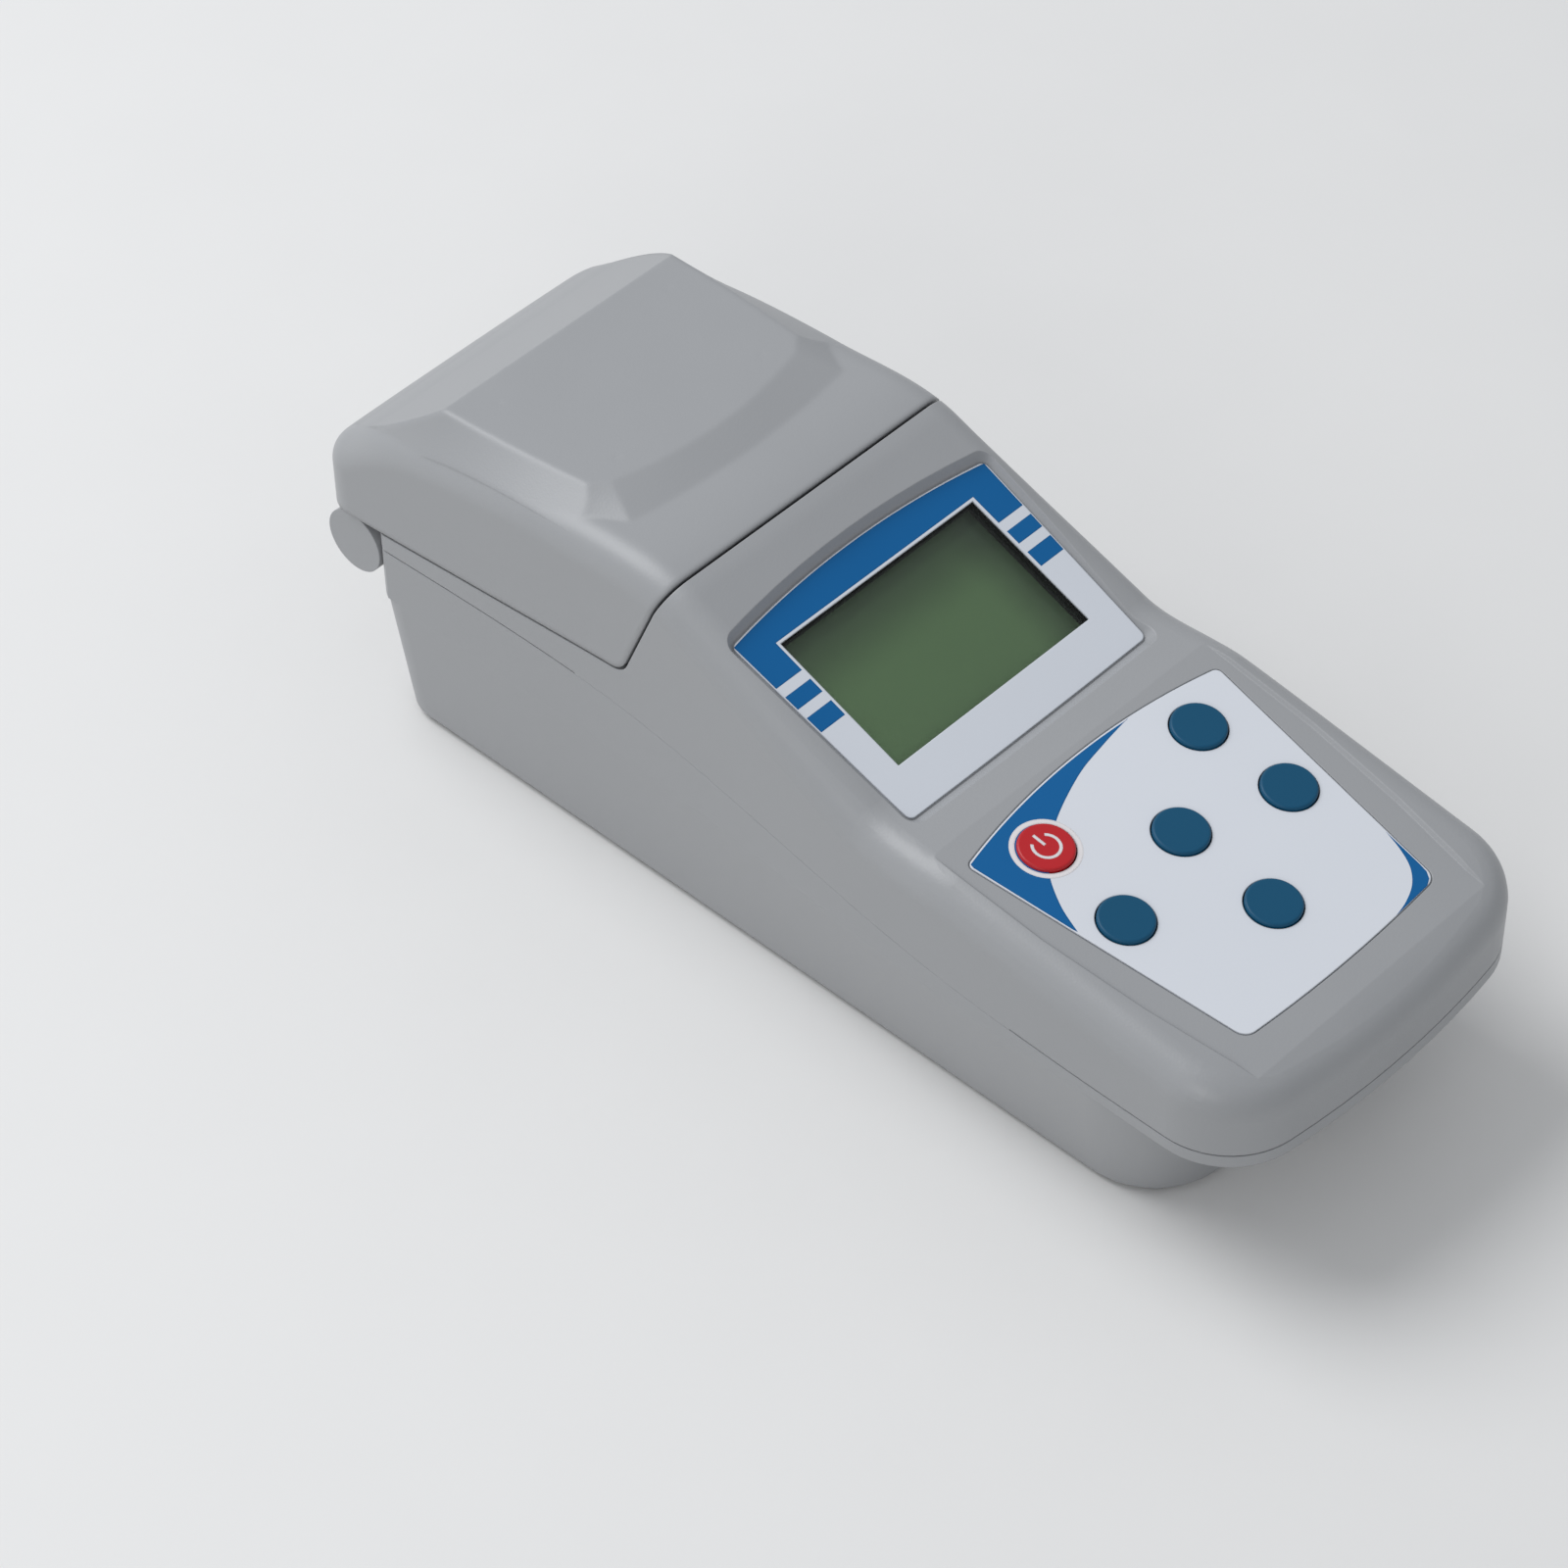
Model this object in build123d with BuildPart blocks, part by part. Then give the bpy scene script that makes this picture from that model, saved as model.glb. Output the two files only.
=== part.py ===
"""Portable turbidity meter: a wedge-shaped hand-held and bench meter with a hinged lid over its vial well.

Sizes are in millimetres. +X is the right-hand side, +Y the hinge end, -Y the keypad nose, +Z up;
the rubber feet stand on z = 0 and x = 0 is the middle plane.
"""
from math import atan2, cos, radians, sin, sqrt, tan
import os

from build123d import *

os.makedirs("parts", exist_ok=True)

# Driving dimensions
WALL = 2.4                 # moulded housing wall
HALF_LENGTH = 129.0        # nose to lid rear, halved
BASE_Z = 1.2               # underside of the lower housing above the table
LIP_Z = 33.0               # underside of the nose lip
RIM_Z = 36.0               # nose parting line
SEAM_PEAK_Z = 47.8         # highest point of the parting line, beside the lid
CUT_HALF = 60.0            # half width of the cutting bodies, beyond the sides
TOP_FILLET = 7.0           # rounding between the top surface and the side walls
BASE_HALF = 37.8           # half width of the pedestal on the table
REAR_HALF_LOW = 40.2       # half width beside the well at the lip height
REAR_HALF_TOP = 41.5       # half width beside the well, carried up to the plan top
NOSE_HALF_LOW = 45.8       # half width beside the keypad at the lip height
NOSE_HALF_TOP = 47.2       # half width beside the keypad, carried up to the plan top
PLAN_TOP_Z = 100.0         # height at which the top plan outline is drawn
END_BOW = 220.0            # radius of the slightly bowed nose and lid ends
NOSE_CORNER = 18.0         # plan radius of the nose corners
REAR_CORNER = 9.0          # plan radius of the lid's rear corners
PEDESTAL_FRONT = -104.5    # front of the pedestal on the table
PEDESTAL_FRONT_LIP = -109.0  # front of the pedestal under the nose
PEDESTAL_REAR = 111.5      # rear wall at the table
REAR_WALL = 115.5          # rear wall under the hinge
FLARE_REAR = 50.0          # the sides start to flare here ...
FLARE_FRONT = -62.0        # ... and reach the nose width here

HINGE_Y = 117.5
HINGE_Z = 42.5
BARREL_RADIUS = 7.5
PIN_RADIUS = 1.5
RUNNING = 0.05             # radial running clearance on pins
FIT = 0.02                 # radial clearance of pressed or screwed pieces
GAP = 0.3                  # clearance between pieces that do not touch
LID_GAP = 0.7              # visible line round the lid

LID_FRONT_TOP = (25.5, 87.1)
LID_FRONT_FOOT = (38.2, 57.95)
LID_EDGE_SLOPE = 0.0927    # fall of the lid's lower edge towards the rear
LID_CORNER = 5.0
PLATEAU_TILT = 2.5         # fall of the lid's raised face towards the rear
PLATEAU_EDGE = 0.8
DECK_Z = 50.5
DECK_FRONT = 45.0
DECK_REAR = 108.0

WELL_Y = 71.5
WELL_FLOOR_Z = 9.5
VIAL_RADIUS = 12.5
WELL_RADIUS = VIAL_RADIUS + 0.2
TUBE_WALL = 1.4

DISPLAY_TILT = 21.45
DISPLAY_ORIGIN = (0, 6.5, 77.0)     # middle of the window's rear edge, on the label's face
WINDOW_WIDTH = 56.2
WINDOW_DEPTH = 33.6
KEYPAD_TILT = 8.05
KEYPAD_ORIGIN = (0, -50.7, 61.7)    # middle of the label's rear corners, on the label's face
LABEL_THICK = 0.5

KEY_RADIUS = 5.8
KEY_PROUD = 0.9
KEY_TRAVEL = 0.4
POWER_KEY = ("power_key", -22.6, -7.4)
MENU_KEYS = [
    ("key_rear_right", 22.6, -7.4),
    ("key_centre", 0.0, -22.4),
    ("key_left", -24.2, -29.4),
    ("key_right", 24.2, -29.4),
    ("key_front", 0.0, -46.0),
]

CELL_RADIUS = 7.1
CELL_LENGTH = 50.0
CELL_PITCH = 14.8
CELL_COUNT = 4
BAY_REAR = -4.0
DOOR_THICK = 1.8
DOOR_TRAVEL = 8.0

FLOOR_THICK = 2.2
BARREL_HALF = 39.6         # half length of the hinge barrel
PIN_HALF = 30.0
RIM_WALL = 3.2             # wall standing round the deck under the lid
TONGUE_INSET = 1.3         # tongue of the lower housing, measured in from the outer skin
TONGUE_HEIGHT = 1.5
SEAM_LINE = 0.35           # shadow line along the visible stretches of the parting line
KNUCKLE_X = 19.0           # the two hinge knuckles of the lid
KNUCKLE_WIDTH = 6.0
KNUCKLE_GAP = 0.4
BOARD_SCREW_RADIUS = 1.1
SCREW_SHANK = 1.45
DOOR_TONGUE = 1.2          # side tongues of the battery door and their grooves
DOOR_TONGUE_Z = 2.2
BAY_WALL = 1.6
BAY_LENGTH = 57.0
JACK_X = 13.0
JACK_Z = 14.0
OPTICS_HALF = 21.0         # half side of the square optical block
OPTICS_Z = (14.0, 40.0)
BEAM_Z = 27.0
OPTICS_SCREWS = 17.0
TUBE_FOOT_Z = 8.0

HOUSING_SCREWS = [(31.0, 98.0), (31.0, 22.0), (30.0, -95.0)]
SCREW_SEAT_Z = 20.0
BOSS_JOINT_Z = 28.0
FEET = [(24.0, 103.0), (27.0, -83.0)]
FOOT_RADIUS = 5.0
FOOT_THICK = 1.6


# Planes of the two inclined panels
def panel_plane(origin, tilt, depth=0.0):
    """Plane of an inclined panel, sunk by depth along its own normal; local +Y points up the slope."""
    normal = (0, -sin(radians(tilt)), cos(radians(tilt)))
    place = (origin[0], origin[1] - normal[1] * depth, origin[2] - normal[2] * depth)
    return Plane(origin=place, x_dir=(1, 0, 0), z_dir=normal)


def display_plane(depth=0.0):
    return panel_plane(DISPLAY_ORIGIN, DISPLAY_TILT, depth)


def keypad_plane(depth=0.0):
    return panel_plane(KEYPAD_ORIGIN, KEYPAD_TILT, depth)


# Outer form
def end_points(half, end_y, corner, sign):
    """Joint, middle and outer end of the corner arc beside a bowed end; sign is +1 at the rear."""
    reach = sqrt((END_BOW - corner) ** 2 - (half - corner) ** 2)
    middle_y = end_y - sign * END_BOW + sign * reach
    turn = atan2(half - corner, reach)
    half_turn = (turn + radians(90)) / 2
    joint = (half - corner + corner * sin(turn), middle_y + sign * corner * cos(turn))
    middle = (half - corner + corner * sin(half_turn), middle_y + sign * corner * cos(half_turn))
    return joint, middle, (half, middle_y)


def mirrored(point):
    return (-point[0], point[1])


def plan_outline(z, rear_half, nose_half, rear_y, front_y, corner, inset):
    """Closed plan outline at height z, drawn inside the outer skin by the inset."""
    rear_half -= inset
    nose_half -= inset
    rear_y -= inset
    front_y += inset
    joint, middle, outer = end_points(rear_half, rear_y, REAR_CORNER - inset, 1)
    nose_joint, nose_middle, nose_outer = end_points(nose_half, front_y, corner - inset, -1)
    with BuildSketch(Plane.XY.offset(z)) as outline:
        with BuildLine():
            ThreePointArc(mirrored(joint), (0, rear_y), joint)
            ThreePointArc(joint, middle, outer)
            Line(outer, (rear_half, FLARE_REAR))
            Spline((rear_half, FLARE_REAR), (nose_half, FLARE_FRONT), tangents=[(0, -1), (0, -1)])
            Line((nose_half, FLARE_FRONT), nose_outer)
            ThreePointArc(nose_outer, nose_middle, nose_joint)
            ThreePointArc(nose_joint, (0, front_y), mirrored(nose_joint))
            ThreePointArc(mirrored(nose_joint), mirrored(nose_middle), mirrored(nose_outer))
            Line(mirrored(nose_outer), (-nose_half, FLARE_FRONT))
            Spline((-nose_half, FLARE_FRONT), (-rear_half, FLARE_REAR), tangents=[(0, 1), (0, 1)])
            Line((-rear_half, FLARE_REAR), mirrored(outer))
            ThreePointArc(mirrored(outer), mirrored(middle), mirrored(joint))
        make_face()
    return outline.sketch


def upper_walls(inset, rear_y=HALF_LENGTH):
    """Drafted walls from the nose lip up to above the lid."""
    with BuildPart() as walls:
        add(plan_outline(LIP_Z, REAR_HALF_LOW, NOSE_HALF_LOW, rear_y, -HALF_LENGTH, NOSE_CORNER, inset))
        add(plan_outline(PLAN_TOP_Z, REAR_HALF_TOP, NOSE_HALF_TOP, rear_y, -HALF_LENGTH, NOSE_CORNER,
                         inset))
        loft(ruled=True)
    return walls.part


def pedestal(inset, floor_z):
    """Drafted pedestal from the table up to the nose lip."""
    with BuildPart() as foot:
        add(plan_outline(floor_z, BASE_HALF, BASE_HALF, PEDESTAL_REAR, PEDESTAL_FRONT, NOSE_CORNER, inset))
        add(plan_outline(LIP_Z, REAR_HALF_LOW, NOSE_HALF_LOW, REAR_WALL, PEDESTAL_FRONT_LIP, NOSE_CORNER,
                         inset))
        loft(ruled=True)
    return foot.part


def sunk(y, z, slope, inset):
    """Point of the side profile moved inwards by the inset, square to the surface's slope there."""
    length = sqrt(1 + slope * slope)
    return (y + inset * slope / length, z - inset / length)


def top_form(inset):
    """Upper walls closed by the long top surface: nose roll, keypad slope, display slope, lid back."""
    deck_slope = tan(radians(23.65))
    key_slope = tan(radians(KEYPAD_TILT))
    front_y = -HALF_LENGTH - 8
    rear_y = HALF_LENGTH + 5
    bottom = LIP_Z + inset
    nose_foot = sunk(-131, 45, 1.3, inset)
    nose_top = sunk(-112, 53.8, key_slope, inset)
    keypad_top = sunk(-52, 62.3, key_slope, inset)
    deck_foot = sunk(-28, 63.7, deck_slope, inset)
    deck_top = sunk(21, 63.7 + 49 * deck_slope, deck_slope, inset)
    lid_back = [(29.5, 87.35, 0.0), (48, 87, -0.06), (75, 84.8, -0.12), (97.5, 80.6, -0.28),
                (112, 75, -0.5), (122, 67.5, -0.95), (134, 55, -1.1)]
    lid_points = [sunk(y, z, slope, inset) for y, z, slope in lid_back]
    with BuildPart() as form:
        with BuildSketch(Plane.YZ.offset(-CUT_HALF)):
            with BuildLine():
                Line((front_y, bottom), (front_y, bottom + 2))
                Line((front_y, bottom + 2), nose_foot)
                Spline(nose_foot, nose_top, tangents=[(1, 1.3), (1, key_slope)])
                Line(nose_top, keypad_top)
                Spline(keypad_top, deck_foot, tangents=[(1, key_slope), (1, deck_slope)])
                Line(deck_foot, deck_top)
                Spline(deck_top, *lid_points, tangents=[(1, deck_slope), (1, -1.1)])
                Polyline(lid_points[-1], (rear_y, bottom), (front_y, bottom))
            make_face()
        extrude(amount=2 * CUT_HALF)
        add(upper_walls(inset), mode=Mode.INTERSECT)
        edges = [e for e in form.edges() if on_shoulder(e, inset)]
        fillet(edges, TOP_FILLET - inset)
    return form.part


def on_shoulder(edge, inset):
    """True for the edges where the top surface meets the walls."""
    start, end = edge.position_at(0), edge.position_at(1)
    across = abs(start.Y - end.Y) < 0.01 and abs(start.Z - end.Z) < 0.01
    upright = abs(start.Z - end.Z) > 18 and abs(start.Y - end.Y) < 5
    return min(start.Z, end.Z) > 38 - inset and not across and not upright


def plateau(inset):
    """Raised face on the lid: bowed bevel in front, flanks that steepen rearwards, slope behind."""
    slant = radians(12)
    low = Plane(origin=(0, 36.5, 85.9 - inset), x_dir=(1, 0, 0), z_dir=(0, sin(slant), cos(slant)))
    with BuildPart() as raised:
        # front bevel with a facet at each corner, closed by the top face
        add(bowed_front(low, (33.5, 1.5), (60.0, 48.0), 110, inset))
        add(bowed_front(plateau_plane(inset), (26.5, 4.0), (51.5, 25.5), 90, inset))
        loft(ruled=True)
        # flanks: shallow at the front, steep at the rear
        shift = 0.73 * inset
        with BuildPart(mode=Mode.INTERSECT):
            for y, top_half, foot_half in ((36.0, 17.8, 94.7), (125.0, 33.8, 30.1)):
                with BuildSketch(Plane(origin=(0, y, -shift), x_dir=(1, 0, 0), z_dir=(0, -1, 0))):
                    with BuildLine():
                        Polyline((foot_half - shift, 60), (top_half - shift, 95), (shift - top_half, 95),
                                 (shift - foot_half, 60), (foot_half - shift, 60))
                    make_face()
            loft(ruled=True)
        # rear slope, and upright limits hidden inside the shoulders
        with BuildPart(mode=Mode.INTERSECT):
            with BuildSketch(Plane.YZ.offset(inset - 39.0)):
                with BuildLine():
                    Polyline((20, 50), (20, 100), (78.3, 100), (146, 50), (20, 50))
                make_face()
                if inset > 0:
                    offset(amount=-inset, mode=Mode.REPLACE)
            extrude(amount=2 * (39.0 - inset))
        if inset == 0:
            fillet(raised.faces().filter_by(GeomType.PLANE).sort_by(Axis.Z)[-1].edges(), PLATEAU_EDGE)
    return raised.part


def bowed_front(plane, corner, side, rear_y, inset):
    """Face with a slightly bowed front edge, a slanting facet at each front corner and a straight rear."""
    near = (corner[0] - inset, corner[1] + inset)
    far = (side[0] - inset, side[1] + inset)
    with BuildSketch(plane) as face:
        with BuildLine():
            ThreePointArc(mirrored(near), (0, inset), near)
            Polyline(near, far, (far[0], rear_y), (-far[0], rear_y), mirrored(far), mirrored(near))
        make_face()
    return face.sketch


def plateau_plane(depth):
    """Plane parallel to the plateau's face; local +Y runs towards the hinge."""
    normal = (0, sin(radians(PLATEAU_TILT)), cos(radians(PLATEAU_TILT)))
    place = (0, 49.5 - normal[1] * depth, 90.0 - normal[2] * depth)
    return Plane(origin=place, x_dir=(1, 0, 0), z_dir=normal)


# Side-view zones that divide the form
def lid_edge_z(y):
    """Height of the lid's lower edge."""
    return LID_FRONT_FOOT[1] - (y - LID_FRONT_FOOT[0]) * LID_EDGE_SLOPE


def lid_zone(grow):
    """Everything behind the lid's front edge and above its lower edge."""
    lean = (LID_FRONT_TOP[0] - LID_FRONT_FOOT[0]) / (LID_FRONT_TOP[1] - LID_FRONT_FOOT[1])
    top_y = LID_FRONT_TOP[0] + (110 - LID_FRONT_TOP[1]) * lean
    with BuildPart() as zone:
        with BuildSketch(Plane.YZ.offset(-CUT_HALF)) as side:
            with BuildLine():
                Polyline(LID_FRONT_FOOT, (150, lid_edge_z(150)), (150, 110), (top_y, 110), LID_FRONT_FOOT)
            make_face()
            fillet(side.vertices().sort_by_distance(LID_FRONT_FOOT)[0], LID_CORNER)
            if grow != 0:
                offset(amount=grow, mode=Mode.REPLACE)
        extrude(amount=2 * CUT_HALF)
    return zone.part


def lower_zone(rise):
    """Everything below the main parting line, lifted by rise."""
    with BuildPart() as zone:
        with BuildSketch(Plane.YZ.offset(-CUT_HALF)):
            with BuildLine():
                Line((-140, -5), (-140, RIM_Z + rise))
                Line((-140, RIM_Z + rise), (-98, RIM_Z + rise))
                Spline((-98, RIM_Z + rise), (56, SEAM_PEAK_Z + rise), (140, 45.0 + rise),
                       tangents=[(1, 0), (1, -0.03)])
                Line((140, 45.0 + rise), (140, -5))
                Line((140, -5), (-140, -5))
            make_face()
        extrude(amount=2 * CUT_HALF)
    return zone.part


def barrel(radius, half_width):
    """Cylinder about the hinge axis."""
    with BuildPart() as drum:
        with BuildSketch(Plane.YZ.offset(-half_width)):
            with Locations((HINGE_Y, HINGE_Z)):
                Circle(radius)
        extrude(amount=2 * half_width)
    return drum.part


def block(y_from, y_to, z_from, z_to):
    """Plain block across the meter, used to bound cuts."""
    with BuildPart() as solid:
        with BuildSketch(Plane.YZ.offset(-CUT_HALF)):
            with Locations(((y_from + y_to) / 2, (z_from + z_to) / 2)):
                Rectangle(y_to - y_from, z_to - z_from)
        extrude(amount=2 * CUT_HALF)
    return solid.part


def ring_of_walls(outer_inset, inner_inset):
    """Upright band that follows the housing wall between two insets."""
    with BuildPart() as band:
        add(upper_walls(outer_inset, REAR_WALL))
        add(upper_walls(inner_inset, REAR_WALL), mode=Mode.SUBTRACT)
    return band.part


def seam_band(low, high, outer_inset, inner_inset, y_from=-140.0, y_to=104.0):
    """Part of the wall band between two heights above the parting line."""
    with BuildPart() as band:
        add(ring_of_walls(outer_inset, inner_inset))
        add(lower_zone(high), mode=Mode.INTERSECT)
        add(lower_zone(low), mode=Mode.SUBTRACT)
        add(block(y_from, y_to, 0, 80), mode=Mode.INTERSECT)
    return band.part


def both_sides(points):
    """The listed points and their mirror images across the middle plane."""
    return [place for x, y in points for place in ((x, y), (-x, y))]


def column(x, y, radius, z_from, z_to):
    """Upright round column."""
    with BuildPart() as post:
        with BuildSketch(Plane.XY.offset(z_from)):
            with Locations((x, y)):
                Circle(radius)
        extrude(amount=z_to - z_from)
    return post.part


def save(part, name):
    """Label one piece and write its STEP file."""
    part.label = name
    export_step(part, "parts/" + name + ".step")


def screw(seat, x, y, head_radius, head_height, shank_radius, length):
    """Cross-recess screw whose head stands on the seat plane and whose shank runs down its normal."""
    with BuildPart() as piece:
        with BuildSketch(seat):
            with Locations((x, y)):
                Circle(head_radius)
        extrude(amount=head_height)
        with BuildSketch(seat):
            with Locations((x, y)):
                Circle(shank_radius)
        extrude(amount=-length)
        recess = Plane(origin=seat.origin + seat.z_dir * head_height, x_dir=seat.x_dir, z_dir=seat.z_dir)
        with BuildSketch(recess):
            with Locations((x, y)):
                Rectangle(head_radius * 1.3, head_radius * 0.32)
                Rectangle(head_radius * 0.32, head_radius * 1.3)
        extrude(amount=-head_height * 0.6, mode=Mode.SUBTRACT)
    return piece.part


# The closed outer and inner forms shared by the housing halves and the lid
with BuildPart() as outer_form:
    add(top_form(0))
    add(plateau(0))

with BuildPart() as inner_form:
    add(top_form(WALL))
    add(plateau(WALL))

with BuildPart() as outer_foot:
    add(pedestal(0, BASE_Z))
    fillet(outer_foot.faces().sort_by(Axis.Z)[0].edges(), 1.0)

with BuildPart() as housing_form:
    add(outer_form.part)
    add(upper_walls(-1.0, REAR_WALL - 1.0), mode=Mode.INTERSECT)
    add(outer_foot.part)
    add(barrel(BARREL_RADIUS, BARREL_HALF))

FLOOR_Z = BASE_Z + FLOOR_THICK
with BuildPart() as cavity:
    add(inner_form.part)
    add(lid_zone(LID_GAP + WALL), mode=Mode.SUBTRACT)
    add(block(DECK_FRONT - WALL, 140, DECK_Z - WALL, 110), mode=Mode.SUBTRACT)
    add(pedestal(WALL, FLOOR_Z))
    with BuildSketch(Plane.XY.offset(LIP_Z)):
        add(plan_outline(0, REAR_HALF_LOW, NOSE_HALF_LOW, REAR_WALL, PEDESTAL_FRONT_LIP, NOSE_CORNER, WALL))
    extrude(amount=4)
    add(block(HINGE_Y - BARREL_RADIUS - WALL, 140, LIP_Z - 1, 80), mode=Mode.SUBTRACT)


# Panel beds: the flat thicknesses of the upper housing that carry the two labels
def label_outline(corners_rear, arch, corners_front, bow, front_radius, grow):
    """Four-sided label with an arched rear edge and a bowed front edge, drawn in panel coordinates."""
    rear_x, rear_y = corners_rear
    front_x, front_y = corners_front
    with BuildSketch() as outline:
        with BuildLine():
            ThreePointArc((-rear_x, rear_y), (0, rear_y + arch), (rear_x, rear_y))
            Line((rear_x, rear_y), (front_x, front_y))
            ThreePointArc((front_x, front_y), (0, front_y - bow), (-front_x, front_y))
            Line((-front_x, front_y), (-rear_x, rear_y))
        make_face()
        fillet(outline.vertices().sort_by(Axis.Y)[2:], 1.5)
        fillet(outline.vertices().sort_by(Axis.Y)[0:2], front_radius)
        if grow > 0:
            offset(amount=grow, mode=Mode.REPLACE)
    return outline.sketch


def display_outline(grow):
    return label_outline((36.7, 5.2), 3.0, (34.8, -43.6), 0.2, 1.5, grow)


def keypad_outline(grow):
    return label_outline((37.0, 0), 4.3, (28.3, -63.1), 1.2, 3.0, grow)


ALL_KEYS = [POWER_KEY] + MENU_KEYS
KEY_PLACES = [(x, y) for name, x, y in ALL_KEYS]
DISPLAY_BED = 3.6          # label face down to the underside of the bed
KEYPAD_BED = 2.9
WINDOW_MIDDLE = (0, -WINDOW_DEPTH / 2)
PANE_THICK = 1.0
PANE_MARGIN = 2.0
GASKET_WALL = 0.5
DISPLAY_BOSSES = both_sides([(35.0, 4.0), (35.0, -37.5)])
DISPLAY_BOARD_DEPTH = 9.0  # label face down to the display board
KEYPAD_BOSSES = both_sides([(31.0, 2.0), (25.0, -58.5)])
MAIN_BOARD_DEPTH = 11.25   # label face down to the main board
BOARD_THICK = 1.6

with BuildPart() as upper_housing:
    add(housing_form.part)
    add(lower_zone(0), mode=Mode.SUBTRACT)
    add(barrel(BARREL_RADIUS, BARREL_HALF))
    add(lid_zone(LID_GAP), mode=Mode.SUBTRACT)
    with BuildPart(mode=Mode.SUBTRACT):
        add(upper_walls(RIM_WALL, REAR_WALL))
        add(block(DECK_FRONT, DECK_REAR, DECK_Z, 110), mode=Mode.INTERSECT)
    add(cavity.part, mode=Mode.SUBTRACT)
    # beds under the labels
    with BuildPart():
        with BuildSketch(display_plane()):
            with Locations((0, -16.5)):
                Rectangle(84, 61)
        extrude(amount=-DISPLAY_BED)
        with BuildSketch(keypad_plane()):
            with Locations((0, -28.5)):
                Rectangle(90, 75)
        extrude(amount=-KEYPAD_BED)
        add(outer_form.part, mode=Mode.INTERSECT)
    # columns that meet the lower housing's columns and take the housing screws
    with BuildPart():
        for place in both_sides(HOUSING_SCREWS):
            add(column(place[0], place[1], 3.6, BOSS_JOINT_Z, 86))
        with BuildPart(mode=Mode.INTERSECT):
            add(housing_form.part)
            add(lid_zone(LID_GAP + 1), mode=Mode.SUBTRACT)
            add(block(DECK_FRONT - 1, 140, DECK_Z - 1, 110), mode=Mode.SUBTRACT)
    # sunk keypad panel between the side rails
    with BuildSketch(keypad_plane()):
        with BuildLine():
            Polyline((40.2, 14), (39.4, -22), (37.2, -46), (34.2, -66), (33, -90),
                     (-33, -90), (-34.2, -66), (-37.2, -46), (-39.4, -22), (-40.2, 14), (40.2, 14))
        make_face()
    extrude(amount=6, taper=-45, mode=Mode.SUBTRACT)
    with BuildSketch(keypad_plane(LABEL_THICK - 0.1)):
        add(keypad_outline(GAP))
    extrude(amount=6, mode=Mode.SUBTRACT)
    # display recess, deepest at its arched rear edge
    with BuildSketch(display_plane(LABEL_THICK)):
        add(display_outline(GAP))
    extrude(amount=7, taper=-35, mode=Mode.SUBTRACT)
    # seat of the window pane and the opening under it
    with BuildSketch(display_plane(LABEL_THICK + PANE_THICK)):
        with Locations(WINDOW_MIDDLE):
            Rectangle(WINDOW_WIDTH + 2 * PANE_MARGIN + GAP, WINDOW_DEPTH + 2 * PANE_MARGIN + GAP)
    extrude(amount=PANE_THICK, mode=Mode.SUBTRACT)
    with BuildSketch(display_plane(DISPLAY_BED + 1)):
        with Locations(WINDOW_MIDDLE):
            Rectangle(WINDOW_WIDTH + 2 * GASKET_WALL, WINDOW_DEPTH + 2 * GASKET_WALL)
    extrude(amount=DISPLAY_BED, mode=Mode.SUBTRACT)
    # key holes
    with BuildSketch(keypad_plane(KEYPAD_BED + 1)):
        with Locations(KEY_PLACES):
            Circle(KEY_RADIUS + GAP)
    extrude(amount=KEYPAD_BED + 1, mode=Mode.SUBTRACT)
    # bosses for the display board and the main board
    with BuildSketch(display_plane(DISPLAY_BOARD_DEPTH)):
        with Locations(DISPLAY_BOSSES):
            Circle(2.6)
    extrude(amount=DISPLAY_BOARD_DEPTH - DISPLAY_BED + 0.5)
    with BuildSketch(display_plane(DISPLAY_BOARD_DEPTH)):
        with Locations(DISPLAY_BOSSES):
            Circle(BOARD_SCREW_RADIUS + FIT)
    extrude(amount=6, mode=Mode.SUBTRACT)
    with BuildSketch(keypad_plane(MAIN_BOARD_DEPTH)):
        with Locations(KEYPAD_BOSSES):
            Circle(2.8)
    extrude(amount=MAIN_BOARD_DEPTH - KEYPAD_BED + 0.5)
    with BuildSketch(keypad_plane(MAIN_BOARD_DEPTH)):
        with Locations(KEYPAD_BOSSES):
            Circle(BOARD_SCREW_RADIUS + FIT)
    extrude(amount=6, mode=Mode.SUBTRACT)
    for place in both_sides(HOUSING_SCREWS):
        add(column(place[0], place[1], SCREW_SHANK + FIT, BOSS_JOINT_Z - 1, BOSS_JOINT_Z + 9.5),
            mode=Mode.SUBTRACT)
    # hole for the vial well and slots for the lid's knuckles
    add(column(0, WELL_Y, WELL_RADIUS + TUBE_WALL + FIT, DECK_Z - 6, DECK_Z + 1), mode=Mode.SUBTRACT)
    for side in (-1, 1):
        with BuildSketch(Plane.YZ.offset(side * KNUCKLE_X - KNUCKLE_WIDTH / 2 - KNUCKLE_GAP)):
            with Locations((HINGE_Y, HINGE_Z)):
                Circle(BARREL_RADIUS + 0.6)
            with Locations((HINGE_Y + 4, HINGE_Z + 8)):
                Rectangle(19, 16)
        extrude(amount=KNUCKLE_WIDTH + 2 * KNUCKLE_GAP, mode=Mode.SUBTRACT)
    with BuildSketch(Plane.YZ.offset(-PIN_HALF - 0.5)):
        with Locations((HINGE_Y, HINGE_Z)):
            Circle(PIN_RADIUS + FIT)
    extrude(amount=100, mode=Mode.SUBTRACT)
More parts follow.
